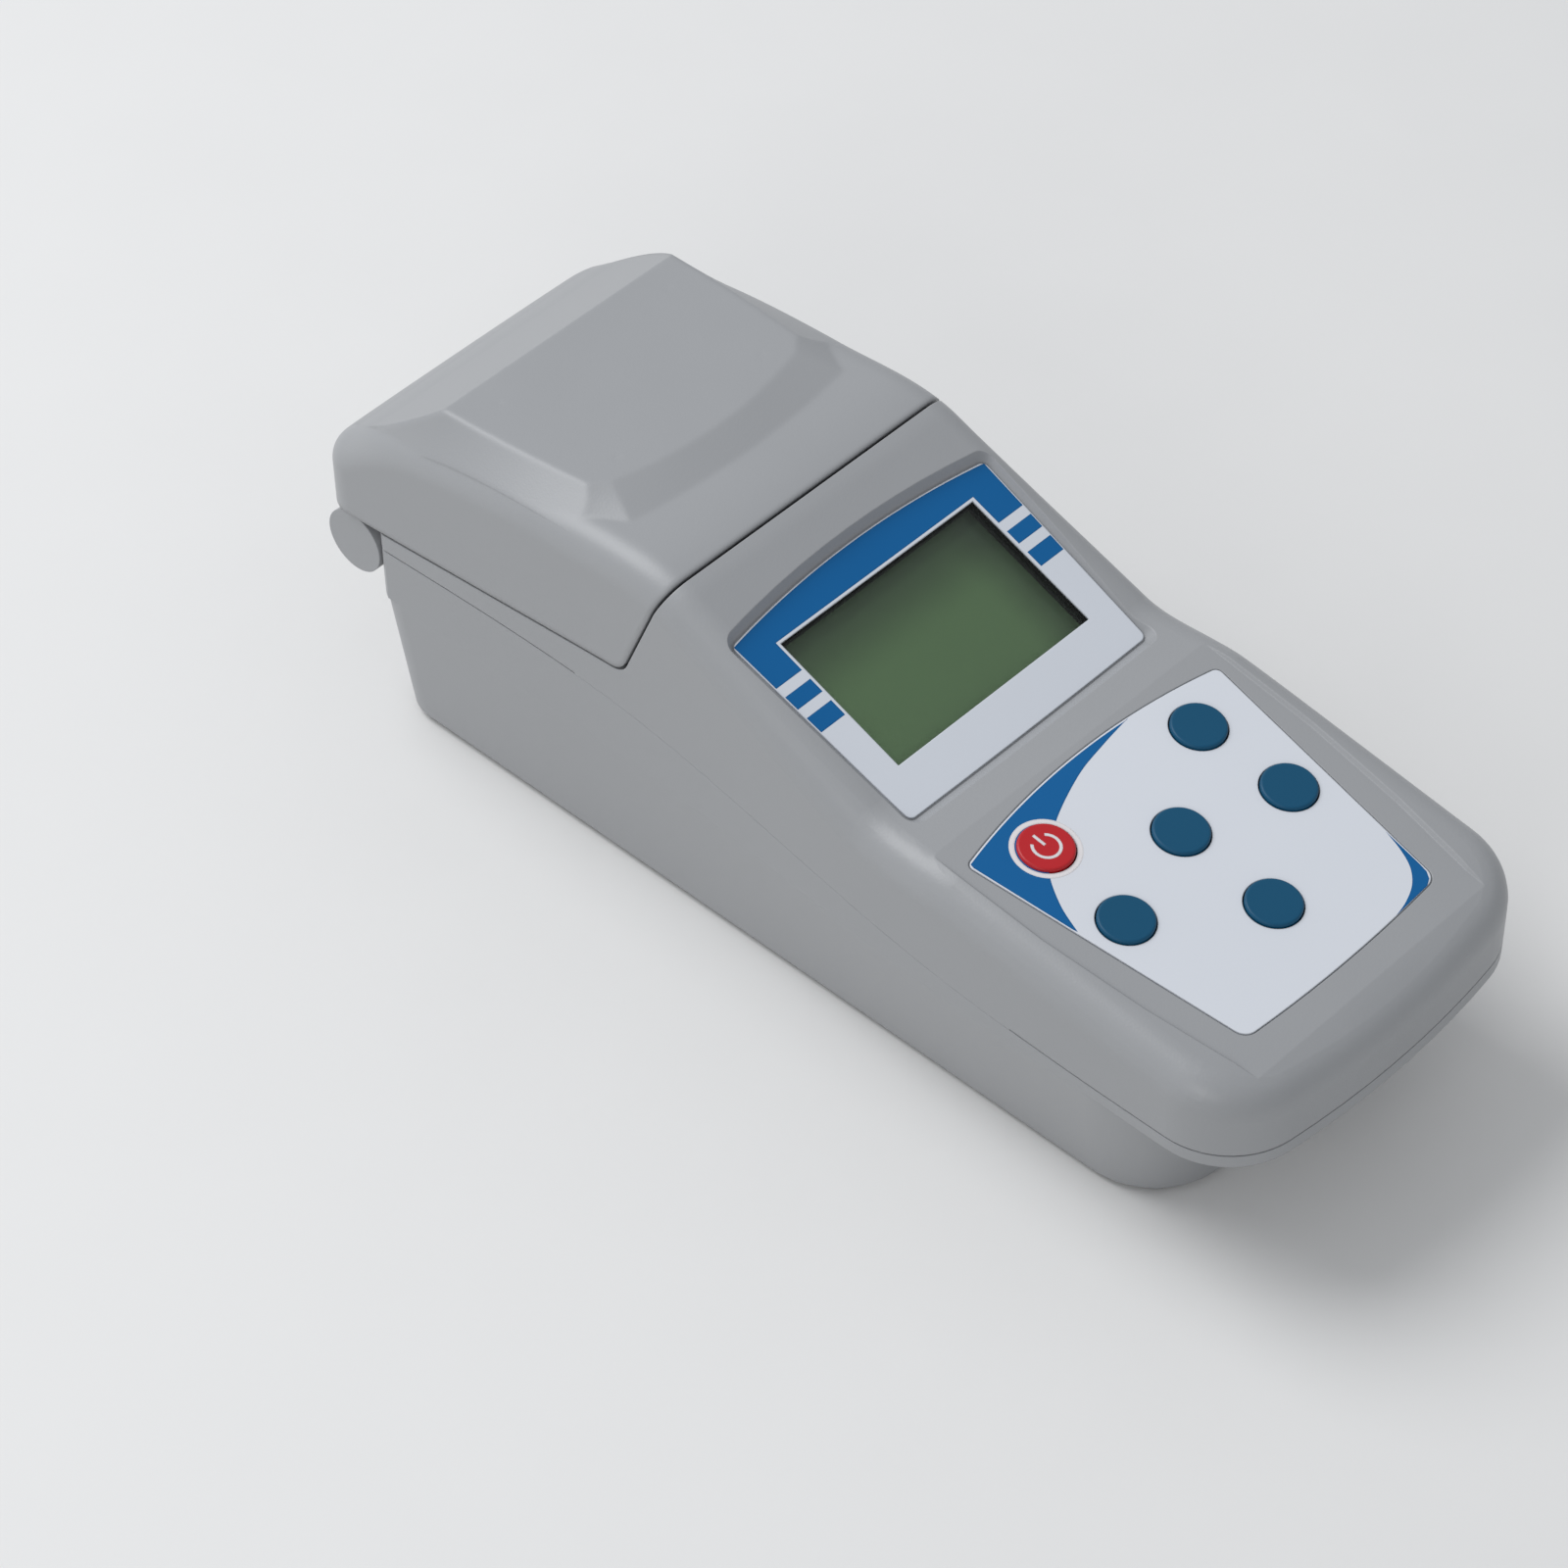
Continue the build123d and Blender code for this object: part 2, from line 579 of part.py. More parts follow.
    # rebate for the lower housing's tongue and the shadow line of the seam
    add(seam_band(0, TONGUE_HEIGHT + 0.2, TONGUE_INSET - 0.1, WALL + 0.3), mode=Mode.SUBTRACT)
    add(seam_band(0, SEAM_LINE, -1, 0.7, y_to=-70), mode=Mode.SUBTRACT)
    add(seam_band(0, SEAM_LINE, -1, 0.7, y_from=52, y_to=109), mode=Mode.SUBTRACT)

# Lower housing: a moulded tray with the pedestal, the battery bay and the screw columns
BAY_HALF = CELL_COUNT * CELL_PITCH / 2 + 0.6
BAY_FRONT = BAY_REAR - BAY_LENGTH
DOOR_TOP = BASE_Z + DOOR_THICK
CELL_Z = DOOR_TOP + 0.4 + CELL_RADIUS
BAY_TOP = CELL_Z + CELL_RADIUS + 0.4
DOOR_HALF = BAY_HALF + 1.4
DOOR_FRONT = BAY_FRONT - 3.0
DOOR_REAR = BAY_REAR + 1.4
OPTICS_POSTS = both_sides([(OPTICS_SCREWS, WELL_Y - OPTICS_SCREWS),
                           (OPTICS_SCREWS, WELL_Y + OPTICS_SCREWS)])
POWER_BOARD_Z = 7.0
POWER_BOARD_SCREWS = [(JACK_X - 7.8, 97.5), (JACK_X + 7.8, 97.5)]


def box_between(x_from, x_to, y_from, y_to, z_from, z_to):
    """Upright block between opposite corners."""
    with BuildPart() as solid:
        with BuildSketch(Plane.XY.offset(z_from)):
            with Locations(((x_from + x_to) / 2, (y_from + y_to) / 2)):
                Rectangle(x_to - x_from, y_to - y_from)
        extrude(amount=z_to - z_from)
    return solid.part


def wide_box(half_width, y_from, y_to, z_from, z_to):
    return box_between(-half_width, half_width, y_from, y_to, z_from, z_to)


with BuildPart() as lower_housing:
    add(housing_form.part)
    add(lower_zone(0), mode=Mode.INTERSECT)
    add(barrel(BARREL_RADIUS + 0.12, 60), mode=Mode.SUBTRACT)
    add(cavity.part, mode=Mode.SUBTRACT)
    add(seam_band(-1.0, TONGUE_HEIGHT, TONGUE_INSET, WALL))
    # battery bay with a thickened floor round the door
    add(wide_box(DOOR_HALF + DOOR_TONGUE + BAY_WALL, DOOR_FRONT - DOOR_TRAVEL - 2, DOOR_REAR + 2,
                 BASE_Z + 1, DOOR_TOP + 2))
    add(wide_box(BAY_HALF + BAY_WALL, BAY_FRONT - BAY_WALL, BAY_REAR + BAY_WALL, FLOOR_Z - 0.5,
                 BAY_TOP + BAY_WALL))
    add(wide_box(BAY_HALF, BAY_FRONT, BAY_REAR, 0, BAY_TOP), mode=Mode.SUBTRACT)
    add(wide_box(DOOR_HALF + GAP, DOOR_FRONT - DOOR_TRAVEL - GAP, DOOR_REAR + GAP, 0, DOOR_TOP + GAP),
        mode=Mode.SUBTRACT)
    add(wide_box(DOOR_HALF + DOOR_TONGUE + GAP, DOOR_FRONT - DOOR_TRAVEL - GAP, DOOR_REAR + GAP,
                 DOOR_TONGUE_Z - GAP, DOOR_TOP + GAP), mode=Mode.SUBTRACT)
    # screw columns with deep counterbores
    for place in both_sides(HOUSING_SCREWS):
        add(column(place[0], place[1], 4.0, BASE_Z, BOSS_JOINT_Z))
    for place in both_sides(HOUSING_SCREWS):
        add(column(place[0], place[1], 3.1, 0, SCREW_SEAT_Z), mode=Mode.SUBTRACT)
        add(column(place[0], place[1], SCREW_SHANK + 0.15, 0, BOSS_JOINT_Z + 1), mode=Mode.SUBTRACT)
    # posts for the optical block, the well and the power board
    for place in OPTICS_POSTS:
        add(column(place[0], place[1], 3.6, FLOOR_Z - 0.5, OPTICS_Z[0]))
        add(column(place[0], place[1], SCREW_SHANK + FIT, FLOOR_Z + 1, OPTICS_Z[0] + 1), mode=Mode.SUBTRACT)
    add(column(0, WELL_Y, 8.0, FLOOR_Z - 0.5, TUBE_FOOT_Z))
    for place in POWER_BOARD_SCREWS:
        add(column(place[0], place[1], 2.4, FLOOR_Z - 0.5, POWER_BOARD_Z))
        add(column(place[0], place[1], BOARD_SCREW_RADIUS + FIT, FLOOR_Z, POWER_BOARD_Z + 1),
            mode=Mode.SUBTRACT)
    # inlet hole in the rear wall
    with BuildSketch(Plane.XZ.offset(-100)):
        with Locations((JACK_X, JACK_Z)):
            Circle(4.3)
    extrude(amount=-25, mode=Mode.SUBTRACT)
    # recesses of the feet
    for place in both_sides(FEET):
        add(column(place[0], place[1], FOOT_RADIUS + 0.1, 0, FOOT_THICK), mode=Mode.SUBTRACT)

# Lid: a thin moulded cover, open below, with two knuckles reaching down to the hinge pin
LINER_DROP = WALL + 2.0    # plateau face down to the liner plate
LINER_THICK = 1.5
LINER_SCREWS = both_sides([(21.0, 8.0), (24.5, 38.0)])


with BuildPart() as lid_shell:
    add(outer_form.part)
    add(lid_zone(0), mode=Mode.INTERSECT)
    with BuildPart(mode=Mode.SUBTRACT):
        add(inner_form.part)
        add(lid_zone(-WALL), mode=Mode.INTERSECT)
    with BuildPart(mode=Mode.SUBTRACT):
        add(inner_form.part)
        add(lid_zone(-WALL).moved(Location((0, 0, -9))), mode=Mode.INTERSECT)
        add(block(LID_FRONT_FOOT[0] + WALL, 140, 0, 62), mode=Mode.INTERSECT)
    # knuckles and their webs
    for side in (-1, 1):
        with BuildPart():
            with BuildSketch(Plane.YZ.offset(side * KNUCKLE_X - KNUCKLE_WIDTH / 2)):
                with BuildLine():
                    Polyline((HINGE_Y - 4.5, HINGE_Z + 5.6), (HINGE_Y - 4.5, HINGE_Z + 15),
                             (HINGE_Y + 3, HINGE_Z + 23),
                             (140, HINGE_Z + 23), (140, 51), (HINGE_Y + 6.8, HINGE_Z + 2.4),
                             (HINGE_Y - 4.5, HINGE_Z + 5.6))
                make_face()
            extrude(amount=KNUCKLE_WIDTH)
            add(block(0, 200, 49.8, 110), mode=Mode.INTERSECT)
            add(outer_form.part, mode=Mode.INTERSECT)
        with BuildSketch(Plane.YZ.offset(side * KNUCKLE_X - KNUCKLE_WIDTH / 2)):
            with BuildLine():
                Polyline((HINGE_Y - 4.5, HINGE_Z + 5.6), (HINGE_Y - 4.5, HINGE_Z + 8),
                         (HINGE_Y + 8.5, HINGE_Z + 8),
                         (HINGE_Y + 6.8, HINGE_Z + 2.4), (HINGE_Y, HINGE_Z), (HINGE_Y - 4.5, HINGE_Z + 5.6))
            make_face()
        extrude(amount=KNUCKLE_WIDTH)
        with BuildSketch(Plane.YZ.offset(side * KNUCKLE_X - KNUCKLE_WIDTH / 2)):
            with Locations((HINGE_Y, HINGE_Z)):
                Circle(BARREL_RADIUS - 0.1)
        extrude(amount=KNUCKLE_WIDTH)
    with BuildSketch(Plane.YZ.offset(-50)):
        with Locations((HINGE_Y, HINGE_Z)):
            Circle(PIN_RADIUS + RUNNING)
    extrude(amount=100, mode=Mode.SUBTRACT)
    # bosses for the liner
    with BuildSketch(plateau_plane(LINER_DROP)):
        with Locations(LINER_SCREWS):
            Circle(2.6)
    extrude(amount=LINER_DROP - WALL + 0.5)
    with BuildSketch(plateau_plane(LINER_DROP)):
        with Locations(LINER_SCREWS):
            Circle(BOARD_SCREW_RADIUS + FIT)
    extrude(amount=LINER_DROP - 1.0, mode=Mode.SUBTRACT)

# Lid liner: black plate with a collar that shades the vial's cap
with BuildPart() as lid_liner:
    with BuildSketch(plateau_plane(LINER_DROP + LINER_THICK)):
        with Locations((0, 22.5)):
            RectangleRounded(55, 41, 3)
    extrude(amount=LINER_THICK)
    with BuildSketch(plateau_plane(LINER_DROP + LINER_THICK)):
        with Locations((0, WELL_Y - 49.5)):
            Circle(17.5)
            Circle(16.1, mode=Mode.SUBTRACT)
    extrude(amount=-5)
    with BuildSketch(plateau_plane(LINER_DROP + LINER_THICK)):
        with Locations(LINER_SCREWS):
            Circle(BOARD_SCREW_RADIUS + 0.2)
    extrude(amount=LINER_THICK, mode=Mode.SUBTRACT)

with BuildPart() as liner_screws:
    seat = plateau_plane(LINER_DROP + LINER_THICK)
    for x, y in LINER_SCREWS:
        add(screw(Plane(origin=seat.origin, x_dir=(-1, 0, 0), z_dir=-seat.z_dir), -x, y, 2.1, 1.4,
                  BOARD_SCREW_RADIUS, 4.0))

# Hinge pin, pushed in from the right-hand end of the barrel
with BuildPart() as hinge_pin:
    with BuildSketch(Plane.YZ.offset(-PIN_HALF)):
        with Locations((HINGE_Y, HINGE_Z)):
            Circle(PIN_RADIUS)
    extrude(amount=PIN_HALF + BARREL_HALF - 1.0)
    chamfer(hinge_pin.edges(), 0.3)

# Printed labels
with BuildPart() as display_label:
    with BuildSketch(display_plane(LABEL_THICK)):
        add(display_outline(0))
        with Locations(WINDOW_MIDDLE):
            Rectangle(WINDOW_WIDTH, WINDOW_DEPTH, mode=Mode.SUBTRACT)
    extrude(amount=LABEL_THICK)

with BuildPart() as keypad_label:
    with BuildSketch(keypad_plane(LABEL_THICK - 0.1)):
        add(keypad_outline(0))
        with Locations(KEY_PLACES):
            Circle(KEY_RADIUS + GAP, mode=Mode.SUBTRACT)
    extrude(amount=LABEL_THICK)

# Window pane, foam gasket, display and its frame and board
with BuildPart() as window_pane:
    with BuildSketch(display_plane(LABEL_THICK + PANE_THICK)):
        with Locations(WINDOW_MIDDLE):
            RectangleRounded(WINDOW_WIDTH + 2 * PANE_MARGIN, WINDOW_DEPTH + 2 * PANE_MARGIN, 0.8)
    extrude(amount=PANE_THICK)

GASKET_TOP = LABEL_THICK + PANE_THICK
with BuildPart() as display_gasket:
    with BuildSketch(display_plane(DISPLAY_BED)):
        with Locations(WINDOW_MIDDLE):
            Rectangle(WINDOW_WIDTH + 2 * GASKET_WALL - 0.04, WINDOW_DEPTH + 2 * GASKET_WALL - 0.04)
            Rectangle(WINDOW_WIDTH - 0.3, WINDOW_DEPTH - 0.3, mode=Mode.SUBTRACT)
    extrude(amount=DISPLAY_BED - GASKET_TOP)

LCD_THICK = 2.4
with BuildPart() as lcd_panel:
    with BuildSketch(display_plane(DISPLAY_BED + LCD_THICK)):
        with Locations(WINDOW_MIDDLE):
            Rectangle(WINDOW_WIDTH + 4.8, WINDOW_DEPTH + 6.4)
    extrude(amount=LCD_THICK)

with BuildPart() as lcd_backlight:
    with BuildSketch(display_plane(DISPLAY_BOARD_DEPTH)):
        with Locations(WINDOW_MIDDLE):
            Rectangle(WINDOW_WIDTH + 3.0, WINDOW_DEPTH + 4.0)
    extrude(amount=DISPLAY_BOARD_DEPTH - DISPLAY_BED - LCD_THICK)

with BuildPart() as lcd_frame:
    with BuildSketch(display_plane(DISPLAY_BOARD_DEPTH)):
        with Locations(WINDOW_MIDDLE):
            Rectangle(WINDOW_WIDTH + 8.2, WINDOW_DEPTH + 8.0)
            Rectangle(WINDOW_WIDTH + 5.0, WINDOW_DEPTH + 6.6, mode=Mode.SUBTRACT)
    extrude(amount=DISPLAY_BOARD_DEPTH - DISPLAY_BED)

with BuildPart() as display_board:
    with BuildSketch(display_plane(DISPLAY_BOARD_DEPTH + BOARD_THICK)):
        with Locations(WINDOW_MIDDLE):
            RectangleRounded(76, 48, 2)
        with Locations(DISPLAY_BOSSES):
            Circle(BOARD_SCREW_RADIUS + 0.2, mode=Mode.SUBTRACT)
    extrude(amount=BOARD_THICK)

# Main board with the key switches
SWITCH_SIDE = 6.0
SWITCH_BODY = 3.5
PLUNGER_TIP = 1.0
FRONT_COLUMN_X, FRONT_COLUMN_Y = HOUSING_SCREWS[2]
SLOPE_SHIFT = (MAIN_BOARD_DEPTH + BOARD_THICK / 2) * sin(radians(KEYPAD_TILT))
NOTCH_Y = (FRONT_COLUMN_Y - KEYPAD_ORIGIN[1] - SLOPE_SHIFT) / cos(radians(KEYPAD_TILT))
BOARD_NOTCHES = both_sides([(FRONT_COLUMN_X, NOTCH_Y)])
with BuildPart() as main_board:
    with BuildSketch(keypad_plane(MAIN_BOARD_DEPTH + BOARD_THICK)):
        with BuildLine():
            Polyline((36, 6), (36, -34), (29, -62), (-29, -62), (-36, -34), (-36, 6), (36, 6))
        make_face()
        with Locations(KEYPAD_BOSSES):
            Circle(BOARD_SCREW_RADIUS + 0.2, mode=Mode.SUBTRACT)
        with Locations(BOARD_NOTCHES):
            Circle(4.6, mode=Mode.SUBTRACT)
    extrude(amount=BOARD_THICK)

with BuildPart() as key_switches:
    with BuildSketch(keypad_plane(MAIN_BOARD_DEPTH)):
        with Locations(KEY_PLACES):
            Rectangle(SWITCH_SIDE, SWITCH_SIDE)
    extrude(amount=SWITCH_BODY)
    with BuildSketch(keypad_plane(MAIN_BOARD_DEPTH - SWITCH_BODY)):
        with Locations(KEY_PLACES):
            Circle(1.7)
    extrude(amount=PLUNGER_TIP)

with BuildPart() as board_chips:
    with BuildSketch(keypad_plane(MAIN_BOARD_DEPTH)):
        with Locations((0, -34.5)):
            Rectangle(10, 10)
        with Locations((-14, -19)):
            Rectangle(5, 6)
        with Locations((13, -38)):
            Rectangle(5, 4)
    extrude(amount=1.2)

with BuildPart() as board_screws:
    seat = display_plane(DISPLAY_BOARD_DEPTH + BOARD_THICK)
    for x, y in DISPLAY_BOSSES:
        add(screw(Plane(origin=seat.origin, x_dir=(-1, 0, 0), z_dir=-seat.z_dir), -x, y, 2.1, 1.4,
                  BOARD_SCREW_RADIUS, 5.5))
    seat = keypad_plane(MAIN_BOARD_DEPTH + BOARD_THICK)
    for x, y in KEYPAD_BOSSES:
        add(screw(Plane(origin=seat.origin, x_dir=(-1, 0, 0), z_dir=-seat.z_dir), -x, y, 2.1, 1.4,
                  BOARD_SCREW_RADIUS, 5.5))
    for x, y in POWER_BOARD_SCREWS:
        add(screw(Plane.XY.offset(POWER_BOARD_Z + BOARD_THICK), x, y, 2.1, 1.4, BOARD_SCREW_RADIUS, 4.5))

# Keys: cap, retaining flange and stem in one moulding each
FLANGE_TOP = KEYPAD_BED + GAP
FLANGE_THICK = 1.0
STEM_END = MAIN_BOARD_DEPTH - SWITCH_BODY - PLUNGER_TIP - KEY_TRAVEL - 0.35


def key(x, y):
    """Round key with a softly rounded cap."""
    with BuildPart() as button:
        with BuildSketch(keypad_plane(FLANGE_TOP)):
            with Locations((x, y)):
                Circle(KEY_RADIUS)
        extrude(amount=FLANGE_TOP + KEY_PROUD)
        fillet(button.faces().sort_by(Axis.Z)[-1].edges(), 0.55)
        with BuildSketch(keypad_plane(FLANGE_TOP + FLANGE_THICK)):
            with Locations((x, y)):
                Circle(KEY_RADIUS + 1.2)
        extrude(amount=FLANGE_THICK)
        with BuildSketch(keypad_plane(STEM_END)):
            with Locations((x, y)):
                Circle(2.0)
        extrude(amount=STEM_END - FLANGE_TOP - FLANGE_THICK)
    return button.part


# Sample well: a black tube with a flange on the deck and three light ports
def bore(direction_plane, radius, start, length):
    """Round port drilled along a plane's normal from the start offset."""
    with BuildPart() as hole:
        with BuildSketch(direction_plane.offset(start)):
            Circle(radius)
        extrude(amount=length)
    return hole.part


BEAM_FRONT = Plane(origin=(0, WELL_Y, BEAM_Z), x_dir=(1, 0, 0), z_dir=(0, -1, 0))
BEAM_BACK = Plane(origin=(0, WELL_Y, BEAM_Z), x_dir=(-1, 0, 0), z_dir=(0, 1, 0))
BEAM_SIDE = Plane(origin=(0, WELL_Y, BEAM_Z), x_dir=(0, 1, 0), z_dir=(1, 0, 0))
FLANGE_RADIUS = 19.0
WELL_FLANGE = 1.5
PORT_RADIUS = 3.5

with BuildPart() as sample_well:
    add(column(0, WELL_Y, WELL_RADIUS + TUBE_WALL, TUBE_FOOT_Z, DECK_Z))
    add(column(0, WELL_Y, FLANGE_RADIUS, DECK_Z, DECK_Z + WELL_FLANGE))
    add(column(0, WELL_Y, WELL_RADIUS, WELL_FLOOR_Z, DECK_Z + 5), mode=Mode.SUBTRACT)
    chamfer(sample_well.edges().filter_by(GeomType.CIRCLE).group_by(Axis.Z)[-1].sort_by(SortBy.RADIUS)[0],
            0.8)
    for beam in (BEAM_FRONT, BEAM_BACK, BEAM_SIDE):
        add(bore(beam, PORT_RADIUS, WELL_RADIUS - 3, 10), mode=Mode.SUBTRACT)
    with BuildSketch(Plane.XY.offset(DECK_Z + WELL_FLANGE)):
        with Locations((0, WELL_Y - 17.1)):
            Triangle(a=3.0, b=3.0, c=3.0)
    extrude(amount=0.4)

with BuildPart() as optical_block:
    add(box_between(-OPTICS_HALF, OPTICS_HALF, WELL_Y - OPTICS_HALF, WELL_Y + OPTICS_HALF, OPTICS_Z[0],
                    OPTICS_Z[1]))
    chamfer(optical_block.edges().filter_by(Axis.Z), 2.0)
    add(column(0, WELL_Y, WELL_RADIUS + TUBE_WALL + RUNNING, 0, 60), mode=Mode.SUBTRACT)
    for beam in (BEAM_FRONT, BEAM_BACK, BEAM_SIDE):
        add(bore(beam, PORT_RADIUS + 0.5, 10, 20), mode=Mode.SUBTRACT)
    for place in OPTICS_POSTS:
        add(column(place[0], place[1], SCREW_SHANK + 0.15, 0, 60), mode=Mode.SUBTRACT)

with BuildPart() as beam_lens:
    with BuildSketch(BEAM_FRONT.offset(WELL_RADIUS + TUBE_WALL + 1.5)):
        Circle(PORT_RADIUS + 0.5 - FIT)
    extrude(amount=2.2)
    fillet(beam_lens.edges().sort_by(Axis.Y)[0], 0.9)

with BuildPart() as lamp_holder:
    with BuildSketch(BEAM_FRONT.offset(OPTICS_HALF)):
        Circle(7.0)
        Circle(2.7, mode=Mode.SUBTRACT)
    extrude(amount=3)
    with BuildSketch(BEAM_FRONT.offset(OPTICS_HALF + 3)):
        Circle(4.6)
        Circle(2.7, mode=Mode.SUBTRACT)
    extrude(amount=6)

with BuildPart() as lamp:
    with BuildSketch(BEAM_FRONT.offset(OPTICS_HALF + 0.5)):
        Circle(2.5)
    extrude(amount=7.5)
    fillet(lamp.edges().sort_by(Axis.Y)[-1], 2.2)
    with BuildSketch(BEAM_FRONT.offset(OPTICS_HALF + 8)):
        with Locations((-1.27, 0), (1.27, 0)):
            Rectangle(0.6, 0.6)
    extrude(amount=5)

with BuildPart() as detector_boards:
    for beam in (BEAM_BACK, BEAM_SIDE):
        with BuildSketch(beam.offset(OPTICS_HALF)):
            Rectangle(18, 16)
        extrude(amount=1.2)

with BuildPart() as photodiodes:
    for beam in (BEAM_BACK, BEAM_SIDE):
        with BuildSketch(beam.offset(OPTICS_HALF - 3.2)):
            Circle(2.8)
        extrude(amount=3.2)

with BuildPart() as optics_screws:
    for x, y in OPTICS_POSTS:
        add(screw(Plane.XY.offset(OPTICS_Z[1]), x, y, 2.7, 1.8, SCREW_SHANK, OPTICS_Z[1] - FLOOR_Z - 2))

with BuildPart() as well_gasket:
    add(column(0, WELL_Y, 17.6 - 2.6, DECK_Z + WELL_FLANGE, DECK_Z + WELL_FLANGE + 0.8))
    add(column(0, WELL_Y, 13.8, DECK_Z, DECK_Z + 5), mode=Mode.SUBTRACT)

# Battery bay: cells, contacts and the sliding door
CELL_REAR = BAY_REAR - 0.9
CELL_X = [(index - (CELL_COUNT - 1) / 2) * CELL_PITCH for index in range(CELL_COUNT)]
with BuildPart() as battery_cells:
    for index, x in enumerate(CELL_X):
        nub_at_rear = index % 2 == 0
        body_front = CELL_REAR - CELL_LENGTH + (0 if nub_at_rear else 1.2)
        body_rear = CELL_REAR - (1.2 if nub_at_rear else 0)
        with BuildSketch(Plane.XZ.offset(-body_front)):
            with Locations((x, CELL_Z)):
                Circle(CELL_RADIUS)
        extrude(amount=-(body_rear - body_front))
        nub_front = body_rear if nub_at_rear else CELL_REAR - CELL_LENGTH
        with BuildSketch(Plane.XZ.offset(-nub_front)):
            with Locations((x, CELL_Z)):
                Circle(2.7)
        extrude(amount=-1.2)

with BuildPart() as contact_plates:
    for pair in (-1, 1):
        add(box_between(pair * CELL_PITCH - 11, pair * CELL_PITCH + 11, BAY_REAR - 0.4, BAY_REAR,
                        CELL_Z - 5, CELL_Z + 5))

SPRING_FRONT = BAY_FRONT + 0.4
with BuildPart() as contact_springs:
    for x in CELL_X:
        with BuildPart():
            with BuildSketch(Plane.YZ.offset(x)):
                with BuildLine():
                    Polyline((BAY_FRONT, CELL_Z - 5), (SPRING_FRONT, CELL_Z - 5),
                             (SPRING_FRONT, CELL_Z + 3.2),
                             (CELL_REAR - CELL_LENGTH - 0.5, CELL_Z + 0.4),
                             (SPRING_FRONT + 0.6, CELL_Z - 3.4),
                             (SPRING_FRONT + 1.1, CELL_Z - 3.8),
                             (CELL_REAR - CELL_LENGTH - 0.05, CELL_Z + 0.4),
                             (SPRING_FRONT, CELL_Z + 3.9), (BAY_FRONT, CELL_Z + 4.5),
                             (BAY_FRONT, CELL_Z - 5))
                make_face()
            extrude(amount=2.2, both=True)

with BuildPart() as battery_door:
    add(wide_box(DOOR_HALF, DOOR_FRONT, DOOR_REAR, BASE_Z, DOOR_TOP))
    add(wide_box(DOOR_HALF + DOOR_TONGUE, DOOR_FRONT + 4, DOOR_REAR - 4, DOOR_TONGUE_Z, DOOR_TOP))
    with BuildSketch(Plane.XY.offset(BASE_Z)):
        with Locations([(0, DOOR_REAR - 9 - 2.2 * index) for index in range(5)]):
            Rectangle(18, 1.0)
    extrude(amount=0.5, mode=Mode.SUBTRACT)

# Inlet and its board on the rear wall
with BuildPart() as power_board:
    with BuildSketch(Plane.XY.offset(POWER_BOARD_Z)):
        with Locations((JACK_X, 101.0)):
            RectangleRounded(20.5, 13.0, 1)
        with Locations(POWER_BOARD_SCREWS):
            Circle(BOARD_SCREW_RADIUS + 0.2, mode=Mode.SUBTRACT)
    extrude(amount=BOARD_THICK)

JACK_FACE = Plane(origin=(JACK_X, 107.6, JACK_Z), x_dir=(-1, 0, 0), z_dir=(0, 1, 0))
with BuildPart() as power_inlet:
    add(box_between(JACK_X - 4.5, JACK_X + 4.5, 97.6, 107.6, POWER_BOARD_Z + BOARD_THICK, JACK_Z + 5.4))
    with BuildSketch(JACK_FACE):
        Circle(4.0)
    extrude(amount=4.0)
    with BuildSketch(JACK_FACE.offset(4.0)):
        Circle(3.1)
    extrude(amount=-12, mode=Mode.SUBTRACT)
    with BuildSketch(JACK_FACE.offset(-8.0)):
        Circle(1.0)
    extrude(amount=11)

# Screws that hold the housing halves together, and the feet
with BuildPart() as housing_screws:
    for x, y in both_sides(HOUSING_SCREWS):
        seat = Plane(origin=(0, 0, SCREW_SEAT_Z), x_dir=(-1, 0, 0), z_dir=(0, 0, -1))
        add(screw(seat, -x, y, 2.8, 2.0, SCREW_SHANK, 17.0))

with BuildPart() as rubber_feet:
    for x, y in both_sides(FEET):
        add(column(x, y, FOOT_RADIUS, 0, FOOT_THICK))

pieces = {
    "upper_housing": upper_housing,
    "lower_housing": lower_housing,
    "lid_shell": lid_shell,
    "lid_liner": lid_liner,
    "liner_screws": liner_screws,
    "hinge_pin": hinge_pin,
    "display_label": display_label,
    "keypad_label": keypad_label,
    "window_pane": window_pane,
    "display_gasket": display_gasket,
    "lcd_panel": lcd_panel,
    "lcd_backlight": lcd_backlight,
    "lcd_frame": lcd_frame,
    "display_board": display_board,
    "main_board": main_board,
    "key_switches": key_switches,
    "board_chips": board_chips,
    "board_screws": board_screws,
    "sample_well": sample_well,
    "optical_block": optical_block,
    "beam_lens": beam_lens,
    "lamp_holder": lamp_holder,
    "lamp": lamp,
    "detector_boards": detector_boards,
    "photodiodes": photodiodes,
    "optics_screws": optics_screws,
    "well_gasket": well_gasket,
    "battery_cells": battery_cells,
    "contact_plates": contact_plates,
    "contact_springs": contact_springs,
    "battery_door": battery_door,
    "power_board": power_board,
    "power_inlet": power_inlet,
    "housing_screws": housing_screws,
    "rubber_feet": rubber_feet,
}
for name, piece in pieces.items():
    save(piece.part, name)
for name, x, y in ALL_KEYS:
    save(key(x, y), name)
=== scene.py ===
"""Looks of the portable turbidity meter: printed labels, inks, plastics, metals, floor, light and camera.

Metres, in the row's frame: +X right, +Y towards the hinged end, +Z up, feet on z = 0.
"""
import math

import bpy
from mathutils import Matrix, Vector


